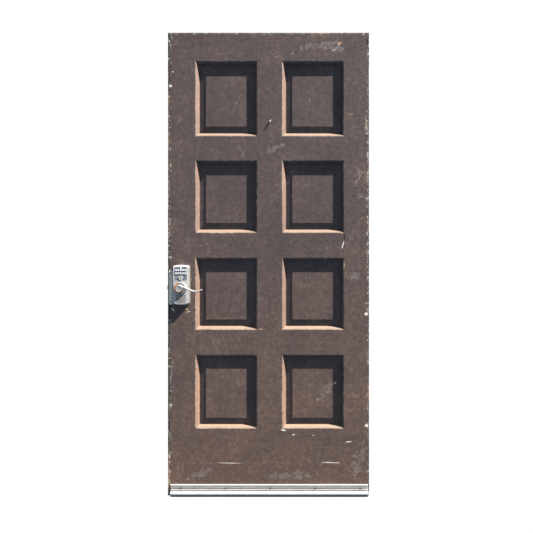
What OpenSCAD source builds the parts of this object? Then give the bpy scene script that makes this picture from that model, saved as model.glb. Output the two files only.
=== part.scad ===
// Panelled front door: an eight-panel timber leaf with a keypad lever lock, an edge strip beside the
// lock and a door sweep. Millimetres. The front faces -Y, +Z is up and the lock is towards -X.
// The origin is the middle of the leaf's bottom face, halfway through its thickness.

/* [Leaf] */
// Width of the leaf
door_w = 914; // [762:1:1100]
// Height of the leaf
door_h = 2103; // [1750:1:2530]
// Thickness of the leaf
door_t = 44.45; // [36:0.05:54]
// Face width of the stile that holds the lock, up to the moulded edge
lock_stile_w = 126; // [114:0.5:152]
// Face width of the stile that holds the hinges
hinge_stile_w = 115; // [95:0.5:140]
// Face width of the short uprights between the two columns of panels
muntin_w = 115; // [90:0.5:140]
// Face height of the top rail
top_rail_h = 129.5; // [105:0.5:156]
// Face height of the rail under the first row of panels
upper_rail_h = 112.5; // [92:0.5:136]
// Face height of the rail under the second row of panels
middle_rail_h = 115; // [92:0.5:138]
// Face height of the rail under the third row of panels
lower_rail_h = 115.5; // [92:0.5:139]
// Face height of the bottom rail
bottom_rail_h = 305.5; // [250:0.5:367]
// How much taller than the mean each row of openings is, from the bottom row up
row_extra = [2, -6, -4, 8];

/* [Moulding and panels] */
// Width of the moulded edge, seen from the front
stick_w = 13.7; // [10:0.1:17]
// How far the moulded edge bulges out of the straight line between its ends
stick_bulge = 1.7; // [0:0.1:2.5]
// Thickness of the panel's tongue, which is the width of the groove
tongue_t = 6.35; // [5:0.05:8]
// Thickness of the panel's raised field
field_t = 19.05; // [15:0.05:23]
// Width of the sloping border round the field
hip_w = 29; // [20:0.5:36]
// Height of the small step at the edge of the field
hip_step = 0.7; // [0.3:0.1:1.2]
// Width of the level strip between the moulding and the sloping border
panel_flat = 1.3; // [0.5:0.1:4]
// Room left between the tongue's edge and the bottom of the groove
panel_gap = 3.7; // [2:0.1:5]
// Room left between the tongue and each wall of the groove
groove_clear = 0.15; // [0.05:0.05:0.3]
// Diameter of the dowels in the frame joints
dowel_d = 16; // [12:0.5:20]
// Length of the dowels
dowel_l = 100; // [80:1:120]
// Room round a dowel in its hole
dowel_clear = 0.1; // [0.05:0.05:0.3]

/* [Hinge edge] */
// Height of a hinge leaf
hinge_h = 101.6; // [88:0.1:122]
// How far a hinge recess reaches in from the rear face
hinge_reach = 38; // [30:0.5:42]
// Depth of a hinge recess
hinge_recess = 3; // [2:0.1:4]
// Distance from the top of the leaf to the top hinge recess
hinge_top_gap = 178; // [120:1:230]
// Distance from the bottom of the leaf to the bottom hinge recess
hinge_bottom_gap = 254; // [180:1:320]
// Spacing of the hinge screw holes across the thickness
hinge_hole_across = 19; // [12:0.5:22]
// Spacing of the hinge screw holes along the height
hinge_hole_along = 76; // [60:0.5:84]
// Diameter of the hinge screw holes
hinge_hole_d = 3.6; // [3:0.1:5]
// Depth of the hinge screw holes
hinge_hole_l = 28; // [20:1:40]

/* [Lock] */
// Distance from the lock edge to the middle of the lock
backset = 62.5; // [60:0.1:71]
// Height of the lever's axis above the bottom of the leaf
lock_h = 943; // [860:1:1060]
// Diameter of the hole through the leaf
cross_bore_d = 54; // [50:0.5:57]
// Diameter of the hole in from the edge
edge_bore_d = 25.4; // [25:0.1:27]
// Width of the lock's plates
plate_w = 78; // [70:0.5:90]
// Height of the plates above the lever's axis
plate_up = 104.5; // [104:0.5:126]
// Height of the plates below the lever's axis
plate_down = 77.5; // [72:0.5:93]
// Thickness of the outside plate
plate_t = 17; // [16:0.5:21]
// Thickness of the inside plate
inside_t = 22; // [21:0.5:27]
// Rise of the arched ends of the plates
plate_arch = 5; // [3:0.5:8]
// How far the sides of the plates lean in
plate_taper = 4.5; // [2:0.5:6]
// Wall of the hollow plates
plate_wall = 3.5; // [2.5:0.1:4.5]
// Distance between the columns of keys
key_pitch_x = 10.4; // [9.8:0.1:11]
// Distance between the rows of keys
key_pitch_y = 14; // [11:0.1:15]
// Height of the lower row of keys above the lever's axis
key_row_y = 67; // [66:0.5:68]
// Width and height of a key
key_s = 7.2; // [6:0.1:8]
// How far the keys stand out of the plate
key_out = 1.3; // [1:0.1:2]
// How far a key can be pressed
key_travel = 0.8; // [0.5:0.1:1]
// Diameter of the round button over the keys
button_d = 8; // [6:0.1:9]
// Height of the round button above the lever's axis
button_y = 90.5; // [90:0.5:92]
// Height of the key cylinder above the lever's axis
cylinder_y = 47; // [45:0.5:48]
// Diameter of the key cylinder's plug
plug_d = 9.6; // [8:0.1:11]

/* [Levers] */
// Diameter of the roses
rose_d = 58; // [50:0.5:68]
// Thickness of the roses
rose_t = 7; // [5:0.5:9]
// Diameter of the lever's hub
hub_d = 33; // [28:0.5:38]
// How far the front of the hub stands off its rose
hub_out = 26; // [22:0.5:34]
// Diameter of the lever's neck inside the rose
neck_d = 24; // [18:0.5:26]
// Diameter of the spindles
spindle_d = 16; // [12:0.5:17]
// Distance from the lever's axis to its tip
lever_reach = 105; // [90:1:126]
// Depth of the lever's arm, front to back
arm_depth = 12; // [9:0.5:15]
// Height of the lever's arm at the hub
arm_root = 13; // [9:0.5:15]
// Height of the lever's arm at the tip
arm_tip = 5; // [3.5:0.5:7]
// How far the lever's arm dips below its axis
arm_dip = 12.5; // [6:0.5:15]
// Height of the lever's arm above its axis where it leaves the hub
arm_rise = 9; // [4:0.5:10]
// Distance from the tip back to the lowest point of the arm
arm_dip_from_tip = 32; // [26:1:38]
// Clearance between a turning or sliding piece and its seat
run_clear = 0.3; // [0.2:0.05:0.4]

/* [Latch] */
// How far the latch bolt stands out of the edge
bolt_throw = 12.7; // [9:0.1:13]
// Height of the latch bolt
bolt_h = 15.2; // [12:0.1:15.6]
// Thickness of the faceplate
faceplate_t = 2.4; // [2:0.1:3]
// Width of the faceplate
faceplate_w = 25.4; // [25:0.1:29]
// Height of the faceplate
faceplate_h = 57.15; // [50:0.05:68]
// Distance between the faceplate screws
faceplate_pitch = 41.3; // [38:0.1:44]

/* [Edge strip] */
// Width of the strip beside the lock
strip_w = 16; // [12:0.5:17]
// Height of the strip
strip_h = 158; // [130:1:190]
// Thickness of the strip
strip_t = 1.6; // [1:0.1:2.5]
// Distance from the lock edge to the strip
strip_in = 4.5; // [2:0.5:5]
// Height of the strip's middle above the lever's axis
strip_up = 3; // [-10:1:10]
// Distance between the strip's screws
strip_pitch = 130.6; // [100:0.1:134]

/* [Door sweep] */
// Distance from the lock edge to the sweep
sweep_gap_lock = 13; // [3:0.5:25]
// Distance from the hinge edge to the sweep
sweep_gap_hinge = 5; // [3:0.5:25]
// Height of the sweep's metal carrier
sweep_h = 51; // [42:0.5:61]
// Thickness of the carrier's plate
sweep_t = 2.2; // [1.5:0.1:3]
// Radius of the rounded grip along the carrier's foot
sweep_grip_r = 9; // [8:0.5:10]
// How far the fin hangs below the leaf
fin_drop = 4; // [2:0.5:8]
// Thickness of the fin
fin_t = 2.4; // [1.5:0.1:2.6]
// Number of screws in the sweep
sweep_screws_n = 5; // [3:1:7]
// Distance between the screws in the sweep
sweep_screw_pitch = 204; // [120:1:210]
// Distance from the lock end of the sweep to its first screw
sweep_screw_in = 45; // [25:1:60]
// Height of the sweep's screws above the bottom of the leaf
sweep_screw_z = 34; // [30:0.5:38]

/* [Hidden] */
KEYS = ["key_1", "key_2", "key_3", "key_4", "key_5", "key_6", "key_7", "key_8", "key_9", "key_0"];
$fn = 64;
eps = 1;
stick_d = (door_t - tongue_t) / 2;
stick_chord = sqrt(stick_w ^ 2 + stick_d ^ 2);
stick_r = (stick_chord ^ 2 / 4 + stick_bulge ^ 2) / (2 * max(stick_bulge, 0.01));
stick_turn = 2 * asin(stick_chord / 2 / stick_r);
stick_steps = 6;
front_y = -door_t / 2;
edge_x = door_w / 2;
lock_arris = -edge_x + lock_stile_w;
hinge_arris = edge_x - hinge_stile_w;
opening_w = (hinge_arris - lock_arris - muntin_w) / 2;
rail_heights = [bottom_rail_h, lower_rail_h, middle_rail_h, upper_rail_h, top_rail_h];
rail_sum = bottom_rail_h + lower_rail_h + middle_rail_h + upper_rail_h + top_rail_h;
row_mean = (door_h - rail_sum) / 4;
lock_x = -edge_x + backset;
chassis_r = cross_bore_d / 2 - 3;
chassis_l = door_t - 4.4;
spindle_in = 12;
arm_start = 3;
bolt_at = chassis_r - 7;
through_bolt_r = 2.5;
screw_clear = 0.05;
strip_x = -edge_x + strip_in + strip_w / 2;
hinge_zs = [hinge_bottom_gap + hinge_h / 2, 0, door_h - hinge_top_gap - hinge_h / 2];
hinge_mids = [hinge_zs[0], (hinge_zs[0] + hinge_zs[2]) / 2, hinge_zs[2]];
hinge_y = -front_y - hinge_reach / 2;
tube_r = 11.6;
tube_bore_r = 10.4;
bolt_front = 7;
bolt_back = 2.4;
plunger_short = 1.7;
tail_short = 12;
// Lock plates: the height at which their sides start to lean, and the outside one's front wall
lean_from = 3;
front_wall = 4;
// Keypad panel and lower panel, let into the outside housing
pad_half = 27.5;
pad_bottom = 35;
pad_top = 96.5;
low_half = 22;
low_bottom = -68;
low_top = -rose_d / 2 - 1.5;
inlay_t = 1.8;
inlay_z = plate_t - inlay_t - 0.2;
inlay_gap = 0.1;
// Circuit board, on two posts, and the keys above it
board_w = 56;
board_h = 34;
board_t = 1.6;
board_z = 6;
board_mid_y = 74;
post_r = 1.8;
key_bottom = board_z + board_t + key_travel + 0.4;
flange_top = plate_t - front_wall - run_clear;
// Key cylinder and its keyway
cylinder_r = 8;
keyway_w = 1.6;
keyway_h = 6.8;
// Inside plate: where the battery cover starts, the base that it slides over, and the battery
split_y = 60;
base_t = 3;
bolt_head_r = 4.3;
bolt_head_h = 3.2;
turn_stem_r = 4;
battery_w = 48.5;
battery_h = 26.5;
battery_t = 15.5;

// Bottom of row r's openings at the face, counting rows from 0 at the bottom
function row_z(r) = r == 0 ? bottom_rail_h : row_z(r - 1) + row_mean + row_extra[r - 1] + rail_heights[r];
function row_h(r) = row_mean + row_extra[r];
// Bottom and top of rail r at the face
function rail_z(r) = r == 0 ? 0 : row_z(r) - rail_heights[r];
function rail_top(r) = rail_z(r) + rail_heights[r];
// Points along the moulding, from the arris on the face to the groove: [distance in, depth]
function stick_points() = [for (i = [0:stick_steps])
    let (a = atan2(stick_d, stick_w) - stick_turn / 2 + stick_turn * i / stick_steps,
        start = atan2(stick_d, stick_w) - stick_turn / 2)
    [stick_r * (sin(a) - sin(start)), stick_r * (cos(start) - cos(a))]];
// Height of the arm's middle line at a distance from the lever's axis: one wave, high at the hub
function arm_z(x) = (arm_rise - arm_dip) / 2 + (arm_rise + arm_dip) / 2 *
    cos(180 * (x - arm_start) / (lever_reach - arm_dip_from_tip - arm_start));
function arm_half(x) = (arm_root + (arm_tip - arm_root) * min(1, x / (lever_reach - 15))) / 2;

// A frame member's edge from its front arris to its back arris: moulded and grooved, or plain
function edge_points(moulded) = moulded ? concat(
    [for (p = stick_points()) [p[0], front_y + p[1]]],
    [[0, -tongue_t / 2], [0, tongue_t / 2]],
    [for (i = [stick_steps:-1:0]) [stick_points()[i][0], -front_y - stick_points()[i][1]]]) :
    [[0, front_y], [0, -front_y]];
// Section of a frame member w wide at the face, with its two edges moulded or plain
module member_section(w, before, after) {
    first = edge_points(before);
    polygon(concat([for (p = edge_points(after)) [w + p[0], p[1]]],
        [for (i = [len(first) - 1:-1:0]) [-first[i][0], first[i][1]]]));
}
module upright(x, w, z0, z1, before, after)
    translate([x, 0, z0]) linear_extrude(z1 - z0) member_section(w, before, after);
module level(x0, x1, z, h, before, after)
    translate([x1, 0, z]) rotate([0, -90, 0]) linear_extrude(x1 - x0) member_section(h, before, after);

// Places of the dowels: [distance up from the rail's bottom] for each rail
function dowel_rise(r) = r == 0 ? [70, bottom_rail_h / 2 + 20, bottom_rail_h - 30] :
    [30, rail_heights[r] - 30];
module dowels(grow) {
    for (r = [0:4])
        for (rise = dowel_rise(r))
            for (x = [lock_arris, hinge_arris])
                translate([x - dowel_l / 2 - grow, 0, rail_z(r) + rise]) rotate([0, 90, 0])
                    cylinder(h = dowel_l + 2 * grow, r = dowel_d / 2 + grow);
}
module sweep_screw_places() {
    for (i = [0:sweep_screws_n - 1])
        translate([-edge_x + sweep_gap_lock + sweep_screw_in + i * sweep_screw_pitch, front_y,
            sweep_screw_z]) rotate([90, 0, 0]) children();
}
module strip_screw_places() {
    for (s = [-1, 1])
        translate([strip_x, front_y, lock_h + strip_up + s * strip_pitch / 2])
            rotate([90, 0, 0]) children();
}
// Local frames of the lock: +Z points away from the leaf, +Y up
module outside() translate([lock_x, front_y, lock_h]) rotate([90, 0, 0]) children();
module inside() translate([lock_x, -front_y, lock_h]) rotate([90, 0, 180]) children();

module lock_stile_raw() upright(-edge_x, lock_stile_w, 0, door_h, false, true);
module hinge_stile_raw() upright(hinge_arris, hinge_stile_w, 0, door_h, true, false);
module rail_raw(r) level(lock_arris, hinge_arris, rail_z(r), rail_heights[r], r > 0, r < 4);

module lock_stile() color("#5b5049") difference() {
    lock_stile_raw();
    dowels(dowel_clear);
    // Hole through the leaf, hole in from the edge and the faceplate's recess
    translate([lock_x, 0, lock_h]) rotate([90, 0, 0])
        cylinder(h = door_t + 2 * eps, d = cross_bore_d, center = true);
    translate([-edge_x - eps, 0, lock_h]) rotate([0, 90, 0])
        cylinder(h = backset - cross_bore_d / 2 + 4 + eps, d = edge_bore_d);
    translate([-edge_x - eps, -faceplate_w / 2 - screw_clear, lock_h - faceplate_h / 2 - screw_clear])
        cube([faceplate_t + eps, faceplate_w + 2 * screw_clear, faceplate_h + 2 * screw_clear]);
    faceplate_screw_places() cylinder(h = 21, r = 2 + screw_clear);
    sweep_screw_places() translate([0, 0, -20]) cylinder(h = 21, r = 1.8 + screw_clear);
    strip_screw_places() translate([0, 0, -18]) cylinder(h = 19, r = 1.6 + screw_clear);
}
module hinge_stile() color("#5b5049") difference() {
    hinge_stile_raw();
    dowels(dowel_clear);
    for (z = hinge_mids) {
        translate([edge_x - hinge_recess, -front_y - hinge_reach, z - hinge_h / 2])
            cube([hinge_recess + eps, hinge_reach + eps, hinge_h]);
        for (sy = [-1, 1])
            for (sz = [-1, 1])
                translate([edge_x - hinge_recess - hinge_hole_l, hinge_y + sy * hinge_hole_across / 2,
                    z + sz * hinge_hole_along / 2]) rotate([0, 90, 0])
                    cylinder(h = hinge_hole_l + eps, d = hinge_hole_d);
    }
    sweep_screw_places() translate([0, 0, -20]) cylinder(h = 21, r = 1.8 + screw_clear);
}
module rail(r) color("#5b5049") difference() {
    rail_raw(r);
    lock_stile_raw();
    hinge_stile_raw();
    dowels(dowel_clear);
    if (r == 0) sweep_screw_places() translate([0, 0, -20]) cylinder(h = 21, r = 1.8 + screw_clear);
}
module top_rail() rail(4);
module upper_rail() rail(3);
module middle_rail() rail(2);
module lower_rail() rail(1);
module bottom_rail() rail(0);

// The muntin of row r, coped over the rails below and above it
module muntin(r) color("#5b5049") difference() {
    upright(lock_arris + opening_w, muntin_w, rail_top(r), rail_z(r + 1), true, true);
    rail_raw(r);
    rail_raw(r + 1);
}

// Raised panel of an opening that is w by h at the face: where the two sections meet, the
// thinner one counts, so the borders are mitred at the corners
module panel_section(w) {
    half = w / 2 - panel_gap;
    tongue = tongue_t / 2 - groove_clear;
    sight = w / 2 - stick_w - panel_flat;
    field = sight - hip_w;
    polygon([[-half, -tongue], [-sight, -tongue], [-field, hip_step - field_t / 2],
        [-field, -field_t / 2], [field, -field_t / 2], [field, hip_step - field_t / 2],
        [sight, -tongue], [half, -tongue], [half, tongue], [sight, tongue],
        [field, field_t / 2 - hip_step], [field, field_t / 2], [-field, field_t / 2],
        [-field, field_t / 2 - hip_step], [-sight, tongue], [-half, tongue]]);
}
// r counts rows from the bottom, side is -1 towards the lock and 1 towards the hinges
module panel(r, side) {
    x = side < 0 ? lock_arris + opening_w / 2 : hinge_arris - opening_w / 2;
    h = row_h(r);
    color("#5f534c") translate([x, 0, row_z(r) + h / 2]) intersection() {
        translate([0, 0, -h / 2]) linear_extrude(h) panel_section(opening_w);
        rotate([0, -90, 0]) translate([0, 0, -opening_w / 2]) linear_extrude(opening_w)
            panel_section(h);
    }
}
module joint_dowels() color("#b98a55") dowels(0);

// Countersunk wood screw along Z with its head's face at z = 0
module flat_screw(r, head_r, l) {
    rotate_extrude() polygon([[0, 0], [head_r, 0], [head_r, -0.3], [r, 0.7 * (r - head_r) - 0.3],
        [r, -l + 2 * r], [0, -l]]);
}
module faceplate_screw_places() {
    for (s = [-1, 1])
        translate([-edge_x, 0, lock_h + s * faceplate_pitch / 2]) rotate([0, 90, 0]) children();
}

/* Door sweep */
module sweep_section() {
    channel = fin_t + 2.4;
    difference() {
        union() {
            square([sweep_t, sweep_h]);
            translate([sweep_t, sweep_h - 3]) circle(3, $fn = 32);
            translate([sweep_t, sweep_grip_r + 1]) circle(sweep_grip_r);
            for (z = [sweep_screw_z - 8, sweep_screw_z + 8])
                translate([sweep_t - eps, z - 0.8]) square([eps + 0.8, 1.6]);
        }
        translate([-20, 0]) square([20, sweep_h + eps]);
        translate([sweep_t + 1, 5]) square([channel, 7]);
        translate([sweep_t + 1 + (channel - fin_t) / 2 - 0.15, -eps]) square([fin_t + 0.3, 8]);
    }
}
module sweep_carrier() color("#c9c3b4") difference() {
    translate([-edge_x + sweep_gap_lock, front_y, 0]) rotate([90, 0, 90]) mirror([1, 0, 0])
        linear_extrude(door_w - sweep_gap_lock - sweep_gap_hinge) sweep_section();
    sweep_screw_places() translate([0, 0, -eps]) cylinder(h = 6, r = 1.8 + screw_clear);
}
module sweep_fin() color("#1d1c1b") {
    channel = fin_t + 2.4;
    translate([-edge_x + sweep_gap_lock, front_y, 0]) rotate([90, 0, 90]) mirror([1, 0, 0])
        linear_extrude(door_w - sweep_gap_lock - sweep_gap_hinge) {
            translate([sweep_t + 1.1, 5.1]) square([channel - 0.2, 6.8]);
            translate([sweep_t + 1 + (channel - fin_t) / 2, -fin_drop]) square([fin_t, fin_drop + 6]);
        }
}
module sweep_screws() color("#3b3631") sweep_screw_places() translate([0, 0, sweep_t])
    rotate_extrude() polygon([[0, 2], [2.2, 1.7], [3.6, 0.8], [3.8, 0], [1.8, 0],
        [1.8, -sweep_t - 14], [0, -sweep_t - 18]]);

/* Edge strip */
module edge_strip() color("#b3a888") difference() {
    translate([strip_x, front_y, lock_h + strip_up]) rotate([90, 0, 0]) {
        for (s = [-1, 1])
            translate([0, s * (strip_h - strip_w) / 2, 0]) cylinder(h = strip_t, d = strip_w);
        translate([-strip_w / 2, -(strip_h - strip_w) / 2, 0]) cube([strip_w, strip_h - strip_w, strip_t]);
        // Raised rib along the middle
        intersection() {
            translate([0, strip_pitch / 2 - 9, strip_t - 8 + 1.2]) rotate([90, 0, 0])
                cylinder(h = strip_pitch - 18, r = 8);
            translate([-strip_w, -strip_h, 0]) cube([2 * strip_w, 2 * strip_h, 10]);
        }
    }
    strip_screw_places() {
        translate([0, 0, -eps]) cylinder(h = 10, r = 1.6 + screw_clear);
        translate([0, 0, strip_t - 1.2 * strip_t]) cylinder(h = 2 * strip_t, r1 = 1.6, r2 = 5.2);
    }
}
module edge_strip_screws() color("#2b2621") strip_screw_places() rotate_extrude()
    polygon([[0, strip_t - 0.3], [2.8, strip_t - 0.3], [1.6, strip_t - 1.5], [1.6, -12], [0, -15]]);

/* Lock: plates */
// Plate with arched ends, from z = 0 to t: up and down are measured from the lever's axis
module arched_plate(w, up, down, t) {
    arc_r = ((w / 2) ^ 2 + plate_arch ^ 2) / (2 * plate_arch);
    intersection() {
        translate([-w / 2, -down - eps, 0]) cube([w, up + down + 2 * eps, t]);
        translate([0, up - arc_r, -eps]) cylinder(h = t + 2 * eps, r = arc_r, $fn = 180);
        translate([0, -down + arc_r, -eps]) cylinder(h = t + 2 * eps, r = arc_r, $fn = 180);
    }
}
// Section through a plate from a to b: upright for the first lean_from, then leaning in
module leaning_section(a, b, t) {
    lean = plate_taper / (t - lean_from);
    over = lean * lean_from / 2;
    polygon([[a - over, -eps], [b + over, -eps], [b + over, lean_from / 2], [b, lean_from],
        [b - plate_taper - lean * eps, t + eps], [a + plate_taper + lean * eps, t + eps],
        [a, lean_from], [a - over, lean_from / 2]]);
}
// Outer form of a lock plate: the arched plate with leaning sides and ends
module plate_form(t) {
    intersection() {
        arched_plate(plate_w, plate_up, plate_down, t);
        translate([0, plate_up + eps, 0]) rotate([90, 0, 0])
            linear_extrude(plate_up + plate_down + 2 * eps) leaning_section(-plate_w / 2, plate_w / 2, t);
        translate([-plate_w / 2 - eps, 0, 0]) rotate([90, 0, 90])
            linear_extrude(plate_w + 2 * eps) leaning_section(-plate_down, plate_up, t);
    }
}
module keypad_holes(grow) {
    for (row = [0, 1])
        for (col = [-2:2])
            translate([col * key_pitch_x, key_row_y + row * key_pitch_y, plate_t])
                cube([key_s + 2 * grow, key_s + 2 * grow, 2 * plate_t], center = true);
    translate([0, button_y, 0]) cylinder(h = 2 * plate_t, d = button_d + 2 * grow);
    translate([0, cylinder_y, 0]) cylinder(h = 2 * plate_t, r = cylinder_r + 0.1);
}
// Hollow of the outside housing, open to the leaf, round the bolt pillars and the board's posts
module outside_hollow() {
    inset = plate_wall + plate_taper;
    difference() {
        translate([0, 0, -eps]) arched_plate(plate_w - 2 * inset, plate_up - inset, plate_down - inset,
            plate_t - front_wall + eps);
        for (s = [-1, 1]) {
            translate([0, s * bolt_at, -eps]) cylinder(h = plate_t, r = 2 * through_bolt_r);
            translate([s * (board_w / 2 - 2), board_mid_y, board_z + board_t])
                cylinder(h = plate_t, r = post_r);
        }
    }
}
module outside_housing() color("#aeb0b0") outside() difference() {
    plate_form(plate_t);
    outside_hollow();
    translate([-pad_half, pad_bottom, inlay_z]) cube([2 * pad_half, pad_top - pad_bottom, 10]);
    translate([-low_half, low_bottom, inlay_z]) cube([2 * low_half, low_top - low_bottom, 10]);
    keypad_holes(run_clear);
    translate([0, 0, -eps]) cylinder(h = 2 * plate_t, r = spindle_d / 2 + run_clear);
    for (s = [-1, 1])
        translate([0, s * bolt_at, -eps]) cylinder(h = 11, r = through_bolt_r + screw_clear);
}
// A panel let into the housing's front, with a fine gap all round
module inlay(half, bottom, top)
    translate([-half + inlay_gap, bottom + inlay_gap, inlay_z])
        cube([2 * (half - inlay_gap), top - bottom - 2 * inlay_gap, inlay_t]);
module keypad_panel() color("#8fa3ad") outside() difference() {
    inlay(pad_half, pad_bottom, pad_top);
    keypad_holes(run_clear);
}
module lower_panel() color("#8b8c8a") outside() inlay(low_half, low_bottom, low_top);
// One key of the pad: a cap on a wider foot that the housing traps
module key(i) {
    col = (i % 5) - 2;
    row = i < 5 ? 1 : 0;
    color("#d9dcdc") outside() translate([col * key_pitch_x, key_row_y + row * key_pitch_y, 0]) {
        translate([-key_s / 2, -key_s / 2, key_bottom])
            cube([key_s, key_s, plate_t + key_out - key_bottom]);
        translate([-key_s / 2 - 1, -key_s / 2 - 1, key_bottom])
            cube([key_s + 2, key_s + 2, flange_top - key_bottom]);
    }
}
module call_button() color("#d9dcdc") outside() translate([0, button_y, 0]) {
    translate([0, 0, key_bottom]) cylinder(h = plate_t + key_out - key_bottom, d = button_d);
    translate([-button_d / 2 - 0.6, -button_d / 2 + 0.8, key_bottom])
        cube([button_d + 1.2, button_d - 1.6, flange_top - key_bottom]);
}
module circuit_board() color("#2f5a3c") outside()
    translate([-board_w / 2, board_mid_y - board_h / 2, board_z]) cube([board_w, board_h, board_t]);
module cylinder_body() color("#a8a49a") outside() translate([0, cylinder_y, 0]) difference() {
    union() {
        translate([0, 0, 3]) cylinder(h = plate_t - 3, r = cylinder_r);
        translate([0, 0, plate_t - 0.2]) cylinder(h = 1.5, r = cylinder_r + 1.5);
    }
    translate([0, 0, 6]) cylinder(h = plate_t, r = plug_d / 2 + run_clear);
}
module cylinder_plug() color("#c8bfa2") outside() translate([0, cylinder_y, 0]) difference() {
    translate([0, 0, 6 + run_clear]) cylinder(h = plate_t - 5, d = plug_d);
    translate([-keyway_w / 2, -keyway_h / 2, 9]) cube([keyway_w, keyway_h, plate_t]);
}

/* Lock: levers, roses and spindles, drawn with +X towards the tip */
module rose(t) difference() {
    translate([0, 0, t]) rotate_extrude() polygon([[0, 0], [rose_d / 2, 0], [rose_d / 2, 2],
        [rose_d / 2 - 1, 3.5], [rose_d / 2 - 3.5, rose_t - 1], [rose_d / 2 - 6, rose_t], [0, rose_t]]);
    translate([0, 0, t - eps]) cylinder(h = rose_t + 2 * eps, r = neck_d / 2 + run_clear);
}
module spindle(t) translate([0, 0, -2.2 - spindle_in])
    cylinder(h = 2.2 + spindle_in + t + rose_t + hub_out / 2, d = spindle_d);
module lever(t) {
    hub_z = t + rose_t + run_clear;
    hub_top = t + rose_t + hub_out;
    xs = [for (i = [0:14]) arm_start + (lever_reach - arm_start) * i / 14];
    difference() {
        union() {
            translate([0, 0, t + run_clear]) cylinder(h = rose_t + 2, d = neck_d);
            translate([0, 0, hub_z]) rotate_extrude() polygon([[0, 0], [hub_d / 2 - 1.5, 0],
                [hub_d / 2, 2], [hub_d / 2, hub_top - hub_z - 2.5],
                [hub_d / 2 - 0.8, hub_top - hub_z - 0.8],
                [hub_d / 2 - 2.5, hub_top - hub_z], [0, hub_top - hub_z]]);
            // Arm: a wave seen from the front, tapering and with a rounded tip seen from above
            intersection() {
                translate([0, 0, hub_top - arm_depth]) linear_extrude(arm_depth) polygon(concat(
                    [for (x = xs) [x, arm_z(x) + arm_half(x)]],
                    [for (i = [14:-1:0]) [xs[i], arm_z(xs[i]) - arm_half(xs[i])]]));
                translate([0, 40, 0]) rotate([90, 0, 0]) linear_extrude(80) union() {
                    translate([0, hub_top - arm_depth]) square([lever_reach - arm_depth / 2, arm_depth]);
                    translate([lever_reach - arm_depth / 2, hub_top - arm_depth / 2]) circle(arm_depth / 2);
                }
            }
        }
        translate([0, 0, t]) cylinder(h = rose_t + hub_out / 2, r = spindle_d / 2 + screw_clear);
    }
}
module outside_rose() color("#b7b3aa") outside() rose(plate_t);
module outside_spindle() color("#8d8f8f") outside() spindle(plate_t);
module outside_lever() color("#c9cbca") outside() lever(plate_t);
module inside_rose() color("#b7b3aa") inside() rose(inside_t);
module inside_spindle() color("#8d8f8f") inside() spindle(inside_t);
module inside_lever() color("#c9cbca") inside() mirror([1, 0, 0]) lever(inside_t);

/* Lock: chassis and latch */
module lock_chassis() color("#9a9c9c") difference() {
    translate([lock_x, 0, lock_h]) rotate([90, 0, 0])
        cylinder(h = chassis_l, r = chassis_r, center = true);
    // A socket for each spindle
    translate([lock_x, 0, lock_h]) rotate([90, 0, 0]) for (s = [-1, 1])
        translate([0, 0, s * (chassis_l / 2 - spindle_in / 2 + 0.25)])
            cylinder(h = spindle_in + 0.5, r = spindle_d / 2 + run_clear, center = true);
    for (s = [-1, 1])
        translate([lock_x, 0, lock_h + s * bolt_at]) rotate([90, 0, 0])
            cylinder(h = door_t, r = through_bolt_r + run_clear, center = true);
    // Slot that the latch bolt's tail slides in
    translate([lock_x - chassis_r - eps, -2.5, lock_h - 4.5])
        cube([chassis_r + eps + bolt_throw - tail_short + 1, 5, 9]);
}
module latch_tube() color("#9a9c9c") translate([-edge_x + faceplate_t, 0, lock_h]) rotate([0, 90, 0])
    difference() {
        cylinder(h = backset - faceplate_t - chassis_r - 0.6, r = tube_r);
        translate([0, 0, -eps]) cylinder(h = backset, r = tube_bore_r);
    }
module latch_bolt() color("#c2a25c") difference() {
    union() {
        translate([-edge_x - bolt_throw, -bolt_front, lock_h - bolt_h / 2])
            cube([bolt_throw + 14, bolt_front + bolt_back, bolt_h]);
        translate([-edge_x + 14 - eps, -2, lock_h - 4])
            cube([backset - 14 + eps - tail_short, 4, 8]);
    }
    // Bevel on the side that meets the strike first
    translate([-edge_x - bolt_throw, -bolt_front, lock_h - bolt_h])
        linear_extrude(2 * bolt_h) polygon([[-eps, -eps], [bolt_throw - 2, -eps], [bolt_throw - 2, 0],
            [0, bolt_front + bolt_back - 1.5], [-eps, bolt_front + bolt_back - 1.5]]);
}
module deadlatch_plunger() color("#c2a25c")
    translate([-edge_x - bolt_throw + plunger_short, bolt_back + run_clear, lock_h - 6])
        cube([bolt_throw - plunger_short + 12, bolt_front - bolt_back - run_clear, 12]);
module latch_faceplate() color("#b79f62") difference() {
    translate([-edge_x, -faceplate_w / 2, lock_h - faceplate_h / 2])
        cube([faceplate_t, faceplate_w, faceplate_h]);
    translate([-edge_x - eps, -bolt_front - run_clear, lock_h - bolt_h / 2 - run_clear])
        cube([faceplate_t + 2 * eps, 2 * (bolt_front + run_clear), bolt_h + 2 * run_clear]);
    faceplate_screw_places() {
        translate([0, 0, -eps]) cylinder(h = 6, r = 2 + screw_clear);
        translate([0, 0, -0.1]) cylinder(h = faceplate_t, r1 = 4.2, r2 = 2);
    }
}
module faceplate_screws() color("#9d8a55") faceplate_screw_places() rotate_extrude()
    polygon([[0, 0.1], [3.8, 0.1], [2, 1.9], [2, 17], [0, 20]]);

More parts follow.
